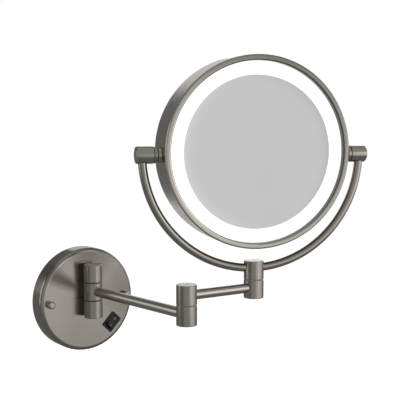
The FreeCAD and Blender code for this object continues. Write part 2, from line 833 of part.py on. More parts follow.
def arms():
    arm_angle = SIZES["arm_direction"]
    forearm_angle = SIZES["forearm_direction"]
    yoke_angle = SIZES["yoke_direction"]
    middle = knuckle("wall_middle_knuckle", size.wall_knuckle_height, turned(hinge_1, arm_angle), (1,))
    keep_knuckle(middle)
    arm_tube("arm_tube", size.arm_tube_radius, size.arm_length, turned(hinge_1, arm_angle))
    forearm = turned(forearm_start, forearm_angle)
    arm_tube("forearm_tube", size.forearm_tube_radius, size.forearm_length, forearm)
    lower = turned(elbow_lower, arm_angle)
    upper = turned(elbow_upper, forearm_angle)
    rise = forearm_start.z - elbow_upper.z
    entries = (size.elbow_drop, rise)
    two_knuckle_hinge("elbow", size.elbow_knuckle_height, elbow_pitch, lower, upper, (-1,), (1,), entries)
    lower = turned(wrist_lower, forearm_angle)
    upper = turned(wrist_upper, yoke_angle)
    entries = (size.wrist_drop, size.hoop_entry)
    two_knuckle_hinge("wrist", size.wrist_knuckle_height, wrist_pitch, lower, upper, (-1,), (-1, 1), entries)


# ---------------------------------------------------------------------------------------
# Yoke. Origin midway between the pivots, X along the tilt axis, -Y to the front.
# ---------------------------------------------------------------------------------------


def yoke_arm(label, side):
    """A quarter of the hoop, as a tube from the wrist knuckle up to one pivot boss."""
    body = new_body(label)
    hoop = size.hoop_radius
    path = new_sketch(body, "XZ")
    start, end = (180, 270) if side < 0 else (270, 360)
    arc = Part.ArcOfCircle(Part.Circle(ORIGIN, Z_AXIS, hoop.number), math.radians(start), math.radians(end))
    path.addGeometry(arc, False)
    constrain(path, "hoop_radius", Sketcher.Constraint("Radius", 0, hoop.number), hoop)
    path.addConstraint(Sketcher.Constraint("Coincident", 0, 3, -1, 1))
    path.addConstraint(Sketcher.Constraint("PointOnObject", 0, 1 if side < 0 else 2, -1))
    path.addConstraint(Sketcher.Constraint("PointOnObject", 0, 2 if side < 0 else 1, -2))
    section = circle(new_sketch(body, "XY"), size.hoop_tube_radius, hoop * side, 0)
    circle(section, size.hoop_tube_radius - size.tube_wall, hoop * side, 0)
    bend = body.newObject("PartDesign::AdditivePipe", "Pipe")
    bend.Profile = section
    bend.Spine = (path, ["Edge1"])
    pocket(body, circle(new_sketch(body, "YZ"), size.boss_radius))
    pocket(body, circle(new_sketch(body, "XY"), size.knuckle_radius))
    keep(label, body, yoke_place)


def pivot_boss(label, side):
    """The round-ended boss at the end of the hoop: blind bore for the pin, port for wires."""
    body = new_body(label)
    outer = size.boss_outer
    inner = size.boss_inner
    bore = size.pivot_pin_radius + size.running_gap
    bore_end = outer - size.boss_end_wall
    points = [(0, outer), (size.boss_radius, outer), (size.boss_radius, inner), (bore, inner)]
    points += [(bore, bore_end), (0, bore_end)]
    revolve(body, "XZ", points)
    soften(body, "Fillet", size.boss_rounding, Z_AXIS, [(size.boss_radius, outer)])
    soften(body, "Chamfer", size.boss_chamfer, Z_AXIS, [(size.boss_radius, inner)])
    keep(label, body, yoke_place.multiply(sideways(side)))


def sideways(side):
    """Turns a part modelled up the Z axis to point out along X, to the left or the right."""
    return Placement(ORIGIN, Rotation(Y_AXIS, 90 * side))


def pivot_parts(name, side):
    """Boss and friction ring on the yoke, collar and pin on the head."""
    pivot_boss(name + "_pivot_boss", side)
    ring_high = size.boss_inner - size.pivot_gap
    ring_low = ring_high - size.ring_length
    collar_high = ring_low - size.pivot_gap
    collar_low = collar_high - size.collar_length
    bore = size.pivot_pin_radius + size.screw_play
    ring = new_body(name + "_friction_ring")
    revolve(ring, "XZ", tube_points(bore, size.ring_radius, ring_low, ring_high))
    ring_edges = [(size.ring_radius, ring_low), (size.ring_radius, ring_high)]
    soften(ring, "Fillet", size.ring_rounding, Z_AXIS, ring_edges)
    keep(name + "_friction_ring", ring, yoke_place.multiply(sideways(side)))
    across = tilt_place.multiply(sideways(side))
    collar = new_body(name + "_head_collar")
    revolve(collar, "XZ", tube_points(bore, size.collar_radius, collar_low, collar_high))
    soften(collar, "Fillet", size.ring_rounding, Z_AXIS, [(size.collar_radius, collar_high)])
    keep(name + "_head_collar", collar, across)
    pin = new_body(name + "_pivot_pin")
    pin_end = size.boss_outer - size.boss_end_wall - size.pivot_pin_end_gap
    revolve(pin, "XZ", tube_points(size.pivot_pin_bore, size.pivot_pin_radius, size.pivot_pin_start, pin_end))
    keep(name + "_pivot_pin", pin, across)


def yoke():
    for name, side in (("left", -1), ("right", 1)):
        yoke_arm(name + "_yoke_arm", side)
        pivot_parts(name, side)


# ---------------------------------------------------------------------------------------
# Head. Y along the drum's axis, front face towards -Y, Y = 0 on the tilt axis.
# ---------------------------------------------------------------------------------------


def head_drum():
    """Side wall and rounded front bezel in one piece, with pivot and screw holes."""
    body = new_body("head_drum")
    lip = size.bezel_radius - size.bezel_lip
    inner = size.drum_inside
    front = size.bezel_front * -1
    glass = size.glass_front * -1
    points = [
        (inner, size.drum_back),
        (size.drum_radius, size.drum_back),
        (size.bezel_radius, front + size.bezel_depth),
        (size.bezel_radius, front),
        (lip, front),
        (lip, glass),
        (inner, glass),
    ]
    revolve(body, "XY", points)
    soften(body, "Fillet", size.bezel_rounding, Y_AXIS, [(size.bezel_radius, front), (lip, front)])
    pin_hole = circle(new_sketch(body, "YZ"), size.pivot_pin_radius + size.screw_play, 0, size.head_rise * -1)
    pocket(body, pin_hole)
    for angle in RIM_SCREW_ANGLES:
        turn = Rotation(X_AXIS, -angle)
        across = new_sketch(body, "YZ", Placement(ORIGIN, turn))
        through = circle(across, size.rim_screw_radius + size.screw_play, size.rim_screw_depth, 0)
        pocket(body, through, size.drum_radius + OVERRUN, backwards=True)
        seat_height = SIZES["drum_radius"] - SIZES["rim_screw_sink"]
        seat = new_sketch(body, "YZ", Placement(turn.multVec(Z_AXIS * seat_height), turn))
        sink = circle(seat, size.rim_sink_radius, size.rim_screw_depth, 0)
        pocket(body, sink, size.rim_screw_sink + OVERRUN, backwards=True)
    keep("head_drum", body, head_place)


def head_discs():
    """Glass, lit ring, light tray and the back mirror, stacked from front to back."""
    seat = size.drum_inside - size.glass_play
    glass = size.glass_front * -1
    glass_back = glass + size.glass_thickness
    disc("front_mirror", tube_points(0, size.front_mirror_radius - size.glass_edge_gap, glass, glass_back))
    disc("light_diffuser", tube_points(size.front_mirror_radius, seat, glass, glass_back))
    rim = seat - size.board_play
    board = size.board_front * -1
    board_inside = size.front_mirror_radius + size.board_inset
    disc("led_board", tube_points(board_inside, rim, board, board + size.board_thickness))
    tray_front = size.tray_front * -1
    tray_rim = size.tray_rim * -1
    well = size.tray_well_radius
    wall = size.tray_wall
    tray = [(0, tray_front), (well, tray_front), (well, tray_rim), (rim, tray_rim), (rim, tray_rim + wall)]
    tray += [(well - wall, tray_rim + wall), (well - wall, tray_front + wall), (0, tray_front + wall)]
    disc("light_tray", tray)
    plate_front = size.drum_back - size.back_plate_recess
    plate_back = plate_front + size.back_plate_thickness
    disc("back_mirror_plate", tube_points(0, size.back_plate_radius, plate_front, plate_back))
    opening = size.back_ring_opening
    sleeve = size.drum_inside - size.sleeve_play
    sleeve_inside = sleeve - size.sleeve_wall
    flange = size.drum_back + size.flange_gap
    seat_level = flange - size.sleeve_play
    ring = [
        (opening, size.back_ring_depth),
        (size.drum_radius, size.back_ring_depth),
        (size.drum_radius, flange),
        (sleeve, flange),
        (sleeve, size.sleeve_start),
        (sleeve_inside, size.sleeve_start),
        (sleeve_inside, seat_level),
        (opening, seat_level),
    ]
    body = new_body("back_ring")
    revolve(body, "XY", ring)
    edges = [(size.drum_radius, size.back_ring_depth), (opening, size.back_ring_depth)]
    soften(body, "Fillet", size.back_ring_rounding, Y_AXIS, edges)
    for angle in RIM_SCREW_ANGLES:
        across = new_sketch(body, "YZ", Placement(ORIGIN, Rotation(X_AXIS, -angle)))
        hole = circle(across, size.rim_screw_radius + size.running_gap, size.rim_screw_depth, 0)
        pocket(body, hole, size.drum_radius, backwards=True)
    keep("back_ring", body, head_place)


def disc(label, points):
    """A round part of the head, turned about the drum's axis."""
    body = new_body(label)
    revolve(body, "XY", points)
    keep(label, body, head_place)


def back_mirror():
    """The magnifying mirror: a thick disc whose face is hollowed to a shallow sphere."""
    radius = SIZES["back_mirror_radius"]
    sphere = SIZES["back_mirror_sphere"]
    thickness = SIZES["back_mirror_thickness"]
    back = SIZES["drum_back"] - SIZES["seat_gap"]
    blank = cylinder(radius, thickness, head_place.multiply(aimed(Y_AXIS * (back - thickness), Y_AXIS)))
    ball = doc.addObject("Part::Sphere", "Sphere")
    ball.Radius = sphere
    sagitta = sphere - math.sqrt(sphere ** 2 - radius ** 2)
    centre = back + sphere - sagitta
    ball.Placement = head_place.multiply(Placement(Y_AXIS * centre, Rotation()))
    keep("back_mirror", cut(blank, ball))


def head_fasteners():
    """LED chips on their board, the drum's three screws and the nuts on the pivot pins."""
    chips = []
    inner = size.chip_distance - size.chip_length * 0.5
    outer = size.chip_distance + size.chip_length * 0.5
    half = size.chip_width * 0.5
    chip_back = size.board_front * -1 - size.chip_gap
    step = 360.0 / LED_COUNT
    for index in range(LED_COUNT):
        turn = Placement(ORIGIN, Rotation(Y_AXIS, step * (index + 0.5)))
        low = (inner, chip_back - size.chip_height, half * -1)
        chips.append(block(low, (outer, chip_back, half), head_place.multiply(turn)))
    keep("led_chips", group(chips))
    screws = []
    for angle in RIM_SCREW_ANGLES:
        outward = Rotation(Y_AXIS, -angle).multVec(X_AXIS)
        across = Y_AXIS * SIZES["rim_screw_depth"]
        head_level = SIZES["drum_radius"] - SIZES["rim_screw_sink"] + SIZES["running_gap"]
        head_base = across + outward * head_level
        head_top = head_base + outward * SIZES["rim_screw_head_height"]
        head_aim = head_place.multiply(aimed(head_base, outward))
        head = cylinder(size.rim_screw_head, size.rim_screw_head_height, head_aim)
        shank_aim = head_place.multiply(aimed(head_base, -outward))
        shank = cylinder(size.rim_screw_radius, size.rim_screw_length, shank_aim)
        reach = SIZES["rim_screw_head"] + OVERRUN
        half = SIZES["rim_slot_width"] / 2
        depth = SIZES["rim_slot_depth"]
        slot = block((-reach, -half, -depth), (reach, half, depth), head_place.multiply(aimed(head_top, outward)))
        screws.append(cut(fuse(head, shank), slot))
    keep("rim_screws", group(screws))
    nuts = []
    for side in (-1, 1):
        start = tilt_place.multiply(aimed(X_AXIS * (SIZES["pivot_nut_start"] * side), X_AXIS * side))
        blank = cylinder(size.pivot_nut_radius, size.pivot_nut_height, start)
        bore = cylinder(size.pivot_pin_radius + size.running_gap, size.pivot_nut_height + OVERRUN, start)
        nuts.append(cut(blank, bore))
    keep("pivot_nuts", group(nuts))


# ---------------------------------------------------------------------------------------
# Build, check and write
# ---------------------------------------------------------------------------------------

wall_plate()
mounting_plate()
cap_nut("left_cap_nut", -1)
cap_nut("right_cap_nut", 1)
wall_fasteners()
backing_plate()
electrical_parts()
switch_parts()
wall_hinge()
arms()
yoke()
head_drum()
head_discs()
back_mirror()
head_fasteners()
doc.recompute()

for thing in doc.Objects:
    if "Invalid" in thing.State or "Error" in thing.State:
        raise RuntimeError("%s (%s) failed: %s" % (thing.Label, thing.Name, thing.State))
for label, thing in nodes.items():
    if thing.Shape.isNull() or not thing.Shape.isValid() or not thing.Shape.Solids:
        raise RuntimeError("%s has no valid solid" % label)

os.makedirs("parts", exist_ok=True)
for label, thing in nodes.items():
    thing.Shape.exportStep("parts/%s.step" % label)

print("hinges at", hinge_1, hinge_2, hinge_3)
print("pivot centre", yoke_place.Base, "switch", switch_place.Base)
print(len(nodes), "sub-parts written")
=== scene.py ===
"""Looks for the wall-mounted extendable shaving mirror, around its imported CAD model.

Everything is in metres, in the model's own frame: +Z up, the wall is the plane Y = 0, and the
mirror stands out of it towards -Y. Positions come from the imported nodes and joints.
"""

import json
import math

import bmesh
import bpy
from mathutils import Euler, Matrix, Vector


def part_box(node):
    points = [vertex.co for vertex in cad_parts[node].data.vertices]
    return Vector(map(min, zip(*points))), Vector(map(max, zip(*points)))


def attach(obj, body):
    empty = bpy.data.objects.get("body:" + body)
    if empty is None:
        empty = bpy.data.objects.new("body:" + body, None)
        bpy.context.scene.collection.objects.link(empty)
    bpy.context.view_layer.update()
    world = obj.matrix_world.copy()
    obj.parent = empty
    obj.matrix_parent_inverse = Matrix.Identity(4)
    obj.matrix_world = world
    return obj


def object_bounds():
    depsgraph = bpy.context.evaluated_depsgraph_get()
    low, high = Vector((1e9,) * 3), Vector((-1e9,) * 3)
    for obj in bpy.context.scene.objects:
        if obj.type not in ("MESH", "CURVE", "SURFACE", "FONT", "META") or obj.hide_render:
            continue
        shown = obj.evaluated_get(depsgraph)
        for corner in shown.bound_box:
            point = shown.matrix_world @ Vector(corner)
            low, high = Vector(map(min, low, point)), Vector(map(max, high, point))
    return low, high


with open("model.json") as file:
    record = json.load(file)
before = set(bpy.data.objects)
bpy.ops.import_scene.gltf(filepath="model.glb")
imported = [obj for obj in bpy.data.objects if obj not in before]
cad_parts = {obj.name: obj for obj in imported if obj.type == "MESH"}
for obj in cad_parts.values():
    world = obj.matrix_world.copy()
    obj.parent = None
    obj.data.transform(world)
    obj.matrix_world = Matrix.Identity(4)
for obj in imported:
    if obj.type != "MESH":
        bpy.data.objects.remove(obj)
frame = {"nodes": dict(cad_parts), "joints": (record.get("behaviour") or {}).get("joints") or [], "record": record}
cad_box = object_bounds()

NODES = frame["nodes"]
JOINTS = {joint["name"]: joint for joint in frame["joints"]}
UP = Vector((0, 0, 1))
WALL_NORMAL = Vector((0, -1, 0))
PLATE_CENTRE = Vector((0, 0, 0))

# The head's own directions: it tilts about the line through its two pivots, and faces
# slightly down at rest. Its centre is a little above that line.
HEAD_TILT = math.radians(1.1)
HEAD_RISE = 0.0024
TILT_AXIS = Vector(JOINTS["head_tilt"]["axis"])
PIVOT = Vector(JOINTS["head_tilt"]["pos_m"])
YOKE_FRONT = TILT_AXIS.cross(UP).normalized()
HEAD_FRONT = Matrix.Rotation(HEAD_TILT, 3, TILT_AXIS) @ YOKE_FRONT
HEAD_UP = HEAD_FRONT.cross(TILT_AXIS).normalized()
HEAD_CENTRE = PIVOT + HEAD_UP * HEAD_RISE


# ------------------------------------------------------------------------------ camera

# The camera looks from the left of the mirror and a little above it.
CAMERA_PLACE = (-0.46198, -0.85067, 0.20033)
CAMERA_AZIMUTH = math.radians(-37.748)
CAMERA_ELEVATION = math.radians(5.5406)
CAMERA_ROLL = math.radians(0.0866)
LENS_MM = 69.386
SENSOR_MM = 36.0
CLOSEST_SEEN = 0.05
FARTHEST_SEEN = 60.0


def make_camera():
    data = bpy.data.cameras.new("camera")
    data.lens = LENS_MM
    data.sensor_width = SENSOR_MM
    data.clip_start = CLOSEST_SEEN
    data.clip_end = FARTHEST_SEEN
    camera = bpy.data.objects.new("camera", data)
    camera.location = CAMERA_PLACE
    turn = Euler((math.radians(90) - CAMERA_ELEVATION, 0.0, CAMERA_AZIMUTH))
    roll = Matrix.Rotation(CAMERA_ROLL, 3, "Z")
    camera.rotation_euler = (turn.to_matrix() @ roll).to_euler()
    bpy.context.scene.collection.objects.link(camera)
    bpy.context.scene.camera = camera


# ----------------------------------------------------------------------- node shorthand

# How far noise strays from a half: fine grain and lines, and broad soft patches.
NOISE_REACH = 0.2
PATCH_REACH = 0.15


class Nodes:
    """Short calls that add and link shader nodes in one material or world."""

    def __init__(self, owner):
        owner.use_nodes = True
        self.tree = owner.node_tree
        self.tree.nodes.clear()

    def add(self, kind, inputs=None, **settings):
        node = self.tree.nodes.new(kind)
        for name, setting in settings.items():
            setattr(node, name, setting)
        for name, value in (inputs or {}).items():
            self.feed(node.inputs[name], value)
        return node

    def feed(self, socket, value):
        if isinstance(value, bpy.types.NodeSocket):
            self.tree.links.new(value, socket)
        else:
            socket.default_value = value

    def math(self, operation, first, second=0.0):
        return self.add("ShaderNodeMath", {0: first, 1: second}, operation=operation).outputs[0]

    def product(self, first, second):
        return self.math("MULTIPLY", first, second)

    def vector(self, operation, first, second=(0, 0, 0)):
        node = self.add("ShaderNodeVectorMath", {0: first, 1: second}, operation=operation)
        return node.outputs["Value" if operation in ("LENGTH", "DOT_PRODUCT") else "Vector"]

    def dot(self, first, second):
        return self.vector("DOT_PRODUCT", first, second)

    def scaled(self, vector, factor):
        node = self.add("ShaderNodeVectorMath", {0: vector, "Scale": factor}, operation="SCALE")
        return node.outputs["Vector"]

    def span(self, value, low, high, to_low=0.0, to_high=1.0):
        """A value that goes from to_low at low to to_high at high, and no further."""
        limits = {"Value": value, 1: low, 2: high, 3: to_low, 4: to_high}
        return self.add("ShaderNodeMapRange", limits).outputs[0]

    def noise(self, vector, scale, detail=2.0, roughness=0.5):
        settings = {"Vector": vector, "Scale": scale, "Detail": detail, "Roughness": roughness}
        return self.add("ShaderNodeTexNoise", settings).outputs["Fac"]

    def stretched(self, noise, to_low=0.0, to_high=1.0, reach=NOISE_REACH):
        """Noise keeps near a half: this stretches what is within reach of a half over a span."""
        return self.span(noise, 0.5 - reach, 0.5 + reach, to_low, to_high)

    def blend(self, factor, first, second):
        node = self.add("ShaderNodeMix", data_type="RGBA")
        self.feed(node.inputs["Factor"], factor)
        self.feed(node.inputs["A"], first)
        self.feed(node.inputs["B"], second)
        return node.outputs["Result"]

    def combine(self, x, y, z=0.0):
        return self.add("ShaderNodeCombineXYZ", {0: x, 1: y, 2: z}).outputs[0]

    def bump(self, height, strength, distance):
        settings = {"Height": height, "Strength": strength, "Distance": distance}
        return self.add("ShaderNodeBump", settings).outputs[0]


def colour(red, green, blue):
    return (red, green, blue, 1.0)


def toned(tint, factor):
    """The same colour, made lighter or darker by a factor."""
    return colour(*(channel * factor for channel in tint[:3]))


WHITE = colour(1.0, 1.0, 1.0)


def new_material(name):
    """A material, its nodes, and the position on the object that its patterns follow."""
    material = bpy.data.materials.new(name)
    nodes = Nodes(material)
    return material, nodes, nodes.add("ShaderNodeTexCoord").outputs["Object"]


def surface(nodes, inputs):
    """The Principled shader with these inputs, joined to the material's output."""
    shader = nodes.add("ShaderNodeBsdfPrincipled", inputs)
    nodes.add("ShaderNodeOutputMaterial", {"Surface": shader.outputs[0]})


# ----------------------------------------------------------------------- brushed nickel

NICKEL_LIGHT = colour(0.515, 0.482, 0.430)
NICKEL_DARK = colour(0.478, 0.447, 0.399)
NICKEL_ROUGHNESS = 0.2

# How many times a metre the patterns change, and how deep the brushing is. The fine and the
# broad lines add up in these shares, and both they and the handling marks vary the gloss.
FINE_LINES = 1500.0
BROAD_LINES = 420.0
HANDLING_MARKS = 42.0
BRUSHING_DEPTH = 0.000004
FINE_SHARE = 0.6
BROAD_SHARE = 0.4
LINE_GLOSS = 0.12
HANDLING_GLOSS = 0.012


def from_axis(nodes, position, centre, axis):
    """How far a position is along an axis, and its offset square to the axis."""
    local = nodes.vector("SUBTRACT", position, tuple(centre))
    along = nodes.dot(local, axis)
    return along, nodes.vector("SUBTRACT", local, nodes.scaled(axis, along))


def turned_lines(nodes, position, centre, axis):
    """Coordinates of lathe or belt lines round an axis, and the direction along them.

    The lines follow circles round the axis, both on the sides and on the flat ends, so they
    only change with the distance along the axis and the distance from it."""
    axis = tuple(Vector(axis).normalized())
    along, outward = from_axis(nodes, position, centre, axis)
    radius = nodes.vector("LENGTH", outward)
    return nodes.combine(along, radius), nodes.vector("CROSS_PRODUCT", axis, outward)


def hoop_lines(nodes, position, centre, axis, radius):
    """Coordinates of lines round a tube that is bent round a centre, and the tube's direction."""
    axis = tuple(axis)
    outward = from_axis(nodes, position, centre, axis)[1]
    spoke = nodes.vector("NORMALIZE", outward)
    turn = nodes.math("ARCSINE", nodes.dot(spoke, tuple(UP)))
    run = nodes.product(turn, radius)
    return nodes.combine(run, 0.0), nodes.vector("CROSS_PRODUCT", spoke, axis)


def brushed_nickel(
    name,
    lines,
    roughness=NICKEL_ROUGHNESS,
    tone=1.0,
    line_depth=0.12,
    anisotropy=0.3,
    quarter_turn=0.0,
    shading=None,
):
    """Warm grey nickel plate with fine brushing and soft handling marks.

    lines is a function that gives the brushing's coordinates and a direction on the surface.
    Highlights stretch along that direction, or across it with a quarter_turn of 0.25. shading
    is a function that gives, from the position, a factor on the colour and how metallic it is."""
    material, nodes, position = new_material(name)
    line_place, direction = lines(nodes, position)
    fine = nodes.noise(line_place, FINE_LINES, 2.0, 0.6)
    broad = nodes.noise(line_place, BROAD_LINES)
    brushing = nodes.math("ADD", nodes.product(fine, FINE_SHARE), nodes.product(broad, BROAD_SHARE))
    handling = nodes.noise(position, HANDLING_MARKS)

    base = nodes.blend(nodes.stretched(brushing), toned(NICKEL_DARK, tone), toned(NICKEL_LIGHT, tone))
    metallic = 1.0
    # shading paints light and shade into the colour, as a factor from the position.
    if shading is not None:
        factor, metallic = shading(nodes, position)
        base = nodes.scaled(base, factor)

    glossy = roughness * (1 - LINE_GLOSS)
    dull = roughness * (1 + LINE_GLOSS)
    line_gloss = nodes.stretched(brushing, glossy, dull)
    handling_gloss = nodes.stretched(handling, -HANDLING_GLOSS, HANDLING_GLOSS, PATCH_REACH)
    into_world = nodes.add(
        "ShaderNodeVectorTransform",
        {0: direction},
        vector_type="VECTOR",
        convert_from="OBJECT",
        convert_to="WORLD",
    )
    surface(
        nodes,
        {
            "Base Color": base,
            "Metallic": metallic,
            "Roughness": nodes.math("ADD", line_gloss, handling_gloss),
            "Anisotropic": anisotropy,
            "Anisotropic Rotation": quarter_turn,
            "Tangent": into_world.outputs[0],
            "Normal": nodes.bump(brushing, line_depth, BRUSHING_DEPTH),
        },
    )
    return material


def turned_nickel(name, centre, axis, **finish):
    """Nickel with its brushing in circles round an axis."""
    return brushed_nickel(
        name,
        lambda nodes, position: turned_lines(nodes, position, centre, axis),
        quarter_turn=0.25,
        **finish,
    )


# ---------------------------------------------------------------------- other materials

GRAIN_DEPTH = 0.00001
MOULD_GRAIN_DEPTH = 0.00002


def plain_metal(name, tint, roughness, grain_scale=900.0):
    """Plated or sheet metal of the hidden parts: a faint grain and blotchy plating."""
    material, nodes, position = new_material(name)
    grain = nodes.noise(position, grain_scale, 4.0, 0.6)
    plating = nodes.noise(position, 60.0)
    inputs = {
        "Base Color": nodes.blend(nodes.stretched(plating, reach=PATCH_REACH), toned(tint, 0.8), tint),
        "Metallic": 1.0,
        "Roughness": nodes.stretched(grain, roughness * 0.8, roughness * 1.25),
        "Normal": nodes.bump(grain, 0.3, GRAIN_DEPTH),
    }
    surface(nodes, inputs)
    return material


def plastic(name, tint, roughness, grain_scale=2600.0, grain_strength=0.25):
    """Moulded plastic or rubber with a fine spark-eroded grain and slight tone changes."""
    material, nodes, position = new_material(name)
    grain = nodes.noise(position, grain_scale, 3.0, 0.6)
    drift = nodes.noise(position, 90.0)
    inputs = {
        "Base Color": nodes.blend(nodes.stretched(drift, reach=PATCH_REACH), toned(tint, 0.88), tint),
        "Roughness": nodes.stretched(grain, roughness * 0.85, roughness * 1.15),
        "Normal": nodes.bump(grain, grain_strength, MOULD_GRAIN_DEPTH),
    }
    surface(nodes, inputs)
    return material


# The front glass's edge, as a distance from the head's centre, from where the painted glow and
# painted shade of the lit ring start to show on it to where they show in full.
GLASS_EDGE_START = 0.0680
GLASS_EDGE_END = 0.0815
PAINTED_RING_GLOW = 0.09
PAINTED_RING_SHADE = 0.14


def painted_ring_light_on_glass(nodes, position):
    """Painted light beside the lit ring: a painted glow on the glass's left, as a painted reflection of
    the ring, and painted shade to the right.

    Gives the factor on the glass's colour, and the painted glow."""
    local = nodes.vector("SUBTRACT", position, tuple(HEAD_CENTRE))
    spoke = nodes.vector("NORMALIZE", local)
    distance = nodes.vector("LENGTH", local)
    edge = nodes.math("POWER", nodes.span(distance, GLASS_EDGE_START, GLASS_EDGE_END), 2.0)
    leftward = tuple((-TILT_AXIS - UP * 0.2).normalized())
    rightward = tuple((TILT_AXIS + UP * 0.4).normalized())
    painted_glow = nodes.span(nodes.dot(spoke, leftward), 0.1, 0.85, 0.0, PAINTED_RING_GLOW)
    painted_ring_shade = nodes.span(nodes.dot(spoke, rightward), 0.2, 0.9, 0.0, PAINTED_RING_SHADE)
    return nodes.math("SUBTRACT", 1.0, nodes.product(edge, painted_ring_shade)), nodes.product(edge, painted_glow)


def mirror_glass(name, with_painted_ring_light):
    """Silvered glass: near-perfect reflection with the faintest wiping haze."""
    material, nodes, position = new_material(name)
    haze = nodes.noise(position, 14.0, 3.0)
    wipe = nodes.noise(nodes.vector("MULTIPLY", position, (1.0, 1.0, 6.0)), 30.0)
    hazy_silver = colour(0.87, 0.875, 0.875)
    clean_silver = colour(0.885, 0.89, 0.89)
    inputs = {
        "Base Color": nodes.blend(nodes.stretched(haze), hazy_silver, clean_silver),
        "Metallic": 1.0,
        "Roughness": nodes.span(nodes.product(haze, wipe), 0.1, 0.5, 0.015, 0.03),
    }
    # The front glass gets a painted glow and painted shade beside the lit ring.
    if with_painted_ring_light:
        factor, painted_glow = painted_ring_light_on_glass(nodes, position)
        inputs["Base Color"] = nodes.scaled(inputs["Base Color"], factor)
        inputs["Emission Color"] = WHITE
        inputs["Emission Strength"] = painted_glow
    surface(nodes, inputs)
    return material


def lit_diffuser(name, strength):
    """Frosted acrylic lit from behind by a ring of chips: white and very faintly cloudy."""
    material, nodes, position = new_material(name)
    frost = nodes.noise(position, 3000.0, 2.0, 0.6)
    cloud = nodes.noise(position, 30.0)
    cool_white = colour(0.79, 0.80, 0.81)
    plain_white = colour(0.82, 0.82, 0.82)
    inputs = {
        "Base Color": nodes.blend(nodes.stretched(cloud), cool_white, plain_white),
        "Roughness": 0.35,
        "Normal": nodes.bump(frost, 0.2, GRAIN_DEPTH),
        "Emission Color": WHITE,
        "Emission Strength": strength,
    }
    surface(nodes, inputs)
    return material


def white_print(name):
    """Slightly worn white pad print, used for the marks on the rocker."""
    material, nodes, position = new_material(name)
    wear = nodes.noise(position, 4000.0, 2.0, 0.6)
    fresh = colour(0.62, 0.62, 0.6)
    worn = colour(0.42, 0.42, 0.41)
    surface(nodes, {"Base Color": nodes.blend(nodes.span(wear, 0.4, 0.7), fresh, worn), "Roughness": 0.5})
    return material


# ------------------------------------------------------------- materials on the CAD nodes


def paint(node, material):
    """Gives a CAD node its material."""
    thing = NODES[node]
    thing.data.materials.clear()
    thing.data.materials.append(material)


def box_middle(node):
    low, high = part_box(node)
    return (low + high) / 2


def paint_hidden_parts():
    """Gives the inner parts and fasteners the material that the record names for them."""
    slots = {
        "zinc_steel": plain_metal("zinc_plate", colour(0.52, 0.53, 0.55), 0.32),
        "aluminium_tray": plain_metal("sheet_aluminium", colour(0.7, 0.71, 0.72), 0.38, 1400.0),
        "brass_tabs": plain_metal("stamped_brass", colour(0.72, 0.53, 0.22), 0.3),
        "driver_case": plastic("driver_case", colour(0.75, 0.75, 0.72), 0.5),
        "dark_nylon": plastic("dark_nylon", colour(0.028, 0.027, 0.026), 0.5),
        "pale_nylon": plastic("pale_nylon", colour(0.62, 0.62, 0.61), 0.45),
        "black_rubber": plastic("grommet_rubber", colour(0.02, 0.02, 0.02), 0.7, 1600.0, 0.5),
    }
    for entry in frame["record"]["subparts"]:
        material = slots.get(entry["material_slot"])
        if material is not None:
            paint(entry["node"], material)


# Painted shade: the wall hinge's knuckles go from one tone to the other between these two
# distances behind their axis.
WALL_HINGE_FRONT_TONE = 0.95
WALL_HINGE_PAINTED_SHADE_TONE = 0.72
PAINTED_SHADE_DEPTHS = (0.002, 0.008)


def wall_side_painted_shade(nodes, position):
    """The wall hinge's knuckles are painted darker on the side that faces the plate: painted shade, which shows in
    their reflection in the plate.
    """
    behind_axis = nodes.dot(
        nodes.vector("SUBTRACT", position, tuple(JOINTS["arm_swing"]["pos_m"])), tuple(-WALL_NORMAL)
    )
    tone = nodes.span(behind_axis, *PAINTED_SHADE_DEPTHS, WALL_HINGE_FRONT_TONE, WALL_HINGE_PAINTED_SHADE_TONE)
    return tone, 1.0


def paint_hinges():
    """Knuckles are turned about their hinge's axis, and their flat caps are a little lighter."""
    stacks = {
        "arm_swing": (["upper_wall_knuckle", "lower_wall_knuckle", "wall_middle_knuckle"], "wall_hinge"),
        "elbow_swing": (["elbow_lower_knuckle", "elbow_upper_knuckle"], "elbow"),
        "wrist_swing": (["wrist_lower_knuckle", "wrist_upper_knuckle"], "wrist"),
    }
    cap_finish = {"roughness": 0.26, "tone": 1.12, "line_depth": 0.02}
    for joint, (knuckles, stack) in stacks.items():
        axis_point = JOINTS[joint]["pos_m"]
        shading = wall_side_painted_shade if joint == "arm_swing" else None
        barrel = turned_nickel(stack + "_nickel", axis_point, UP, shading=shading)
        cap = turned_nickel(stack + "_cap_nickel", axis_point, UP, **cap_finish)
        for knuckle in knuckles:
            paint(knuckle, barrel)
        paint(stack + "_top_cap", cap)
        paint(stack + "_bottom_cap", cap)


def paint_arms():
    """Arm tubes are brushed round, with the lines square to their length."""
    ends = {"arm_tube": ("arm_swing", "elbow_swing"), "forearm_tube": ("elbow_swing", "wrist_swing")}
    for tube, (first, second) in ends.items():
        run = Vector(JOINTS[second]["pos_m"]) - Vector(JOINTS[first]["pos_m"])
        run.z = 0
        # A tone of 1.14 is painted light: a lighter copy of the nickel that brightens the tubes.
        paint(tube, turned_nickel(tube + "_nickel", box_middle(tube), run, tone=1.14))


# The plate's painted fans of light and shade: where each points, in degrees anticlockwise from
# the viewer's right, half its width in degrees, and what it adds to the plate's tone.
PLATE_TONE = 0.84
PAINTED_PLATE_FANS = (
    (143, 14, -0.30),
    (68, 22, -0.30),
    (185, 60, 0.12),
    (5, 50, -0.21),
    (92, 20, -0.12),
)
FAN_START = 0.012
FAN_FULL = 0.045


